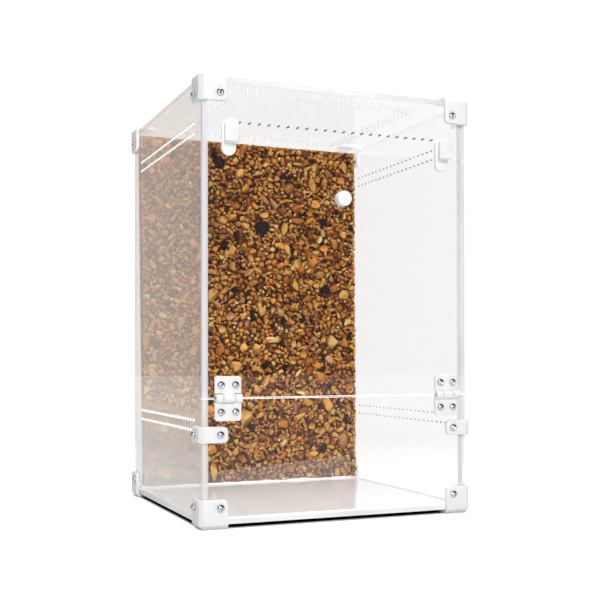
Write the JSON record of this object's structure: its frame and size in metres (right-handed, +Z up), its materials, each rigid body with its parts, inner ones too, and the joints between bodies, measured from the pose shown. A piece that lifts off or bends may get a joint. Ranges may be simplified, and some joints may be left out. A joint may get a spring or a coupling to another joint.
{
  "type": "insect terrarium",
  "caption": "Tall clear box for keeping insects, on white corner brackets, with small vents, a cork back and a front door that folds down on white hinges.",
  "frame": {"origin": "on the table, below the middle of the box round the whole object", "axes": "+Z up, the door faces -Y, +X to the right for someone who faces the door"},
  "size_m": [0.2096, 0.2134, 0.306],
  "materials": {
    "clear_acrylic": "polished clear sheet",
    "white_plastic": "moulded, satin",
    "screw_steel": "bright steel",
    "cork": "pressed granules, raw"
  },
  "bodies": {
    "case": {"back_wall": "clear_acrylic", "bracket_bottom_back_left": "white_plastic", "bracket_bottom_back_right": "white_plastic", "bracket_bottom_front_left": "white_plastic", "bracket_bottom_front_right": "white_plastic", "bracket_top_back_left": "white_plastic", "bracket_top_back_right": "white_plastic", "bracket_top_front_left": "white_plastic", "bracket_top_front_right": "white_plastic", "catch_plate_left": "white_plastic", "catch_plate_right": "white_plastic", "cork_background": "cork", "door_stop_left": "white_plastic", "door_stop_right": "white_plastic", "floor_panel": "clear_acrylic", "front_strip": "clear_acrylic", "hinge_fixed_leaf_left": "white_plastic", "hinge_fixed_leaf_right": "white_plastic", "hinge_pin_left": "screw_steel", "hinge_pin_right": "screw_steel", "left_wall": "clear_acrylic", "lower_front_panel": "clear_acrylic", "right_wall": "clear_acrylic", "screw_bottom_back_left_face": "screw_steel", "screw_bottom_back_left_flank": "screw_steel", "screw_bottom_back_right_face": "screw_steel", "screw_bottom_back_right_flank": "screw_steel", "screw_bottom_front_left_face": "screw_steel", "screw_bottom_front_left_flank": "screw_steel", "screw_bottom_front_right_face": "screw_steel", "screw_bottom_front_right_flank": "screw_steel", "screw_hinge_fixed_left_1": "screw_steel", "screw_hinge_fixed_left_2": "screw_steel", "screw_hinge_fixed_right_1": "screw_steel", "screw_hinge_fixed_right_2": "screw_steel", "screw_strap_left_face": "screw_steel", "screw_strap_left_flank": "screw_steel", "screw_strap_right_face": "screw_steel", "screw_strap_right_flank": "screw_steel", "screw_top_back_left_face": "screw_steel", "screw_top_back_left_flank": "screw_steel", "screw_top_back_right_face": "screw_steel", "screw_top_back_right_flank": "screw_steel", "screw_top_front_left_face": "screw_steel", "screw_top_front_left_flank": "screw_steel", "screw_top_front_right_face": "screw_steel", "screw_top_front_right_flank": "screw_steel", "strap_left": "white_plastic", "strap_right": "white_plastic", "top_panel": "clear_acrylic"},
    "door": {"door_knob": "white_plastic", "door_panel": "clear_acrylic", "hinge_door_leaf_left": "white_plastic", "hinge_door_leaf_right": "white_plastic", "screw_hinge_door_left_1": "screw_steel", "screw_hinge_door_left_2": "screw_steel", "screw_hinge_door_right_1": "screw_steel", "screw_hinge_door_right_2": "screw_steel", "screw_knob": "screw_steel"}
  },
  "joints": [
    {"name": "door_hinge", "type": "hinge", "parent": "case", "child": "door", "pos_m": [0, -0.10135, 0.0871], "axis": [1, 0, 0], "range_deg": [0, 118]}
  ]
}
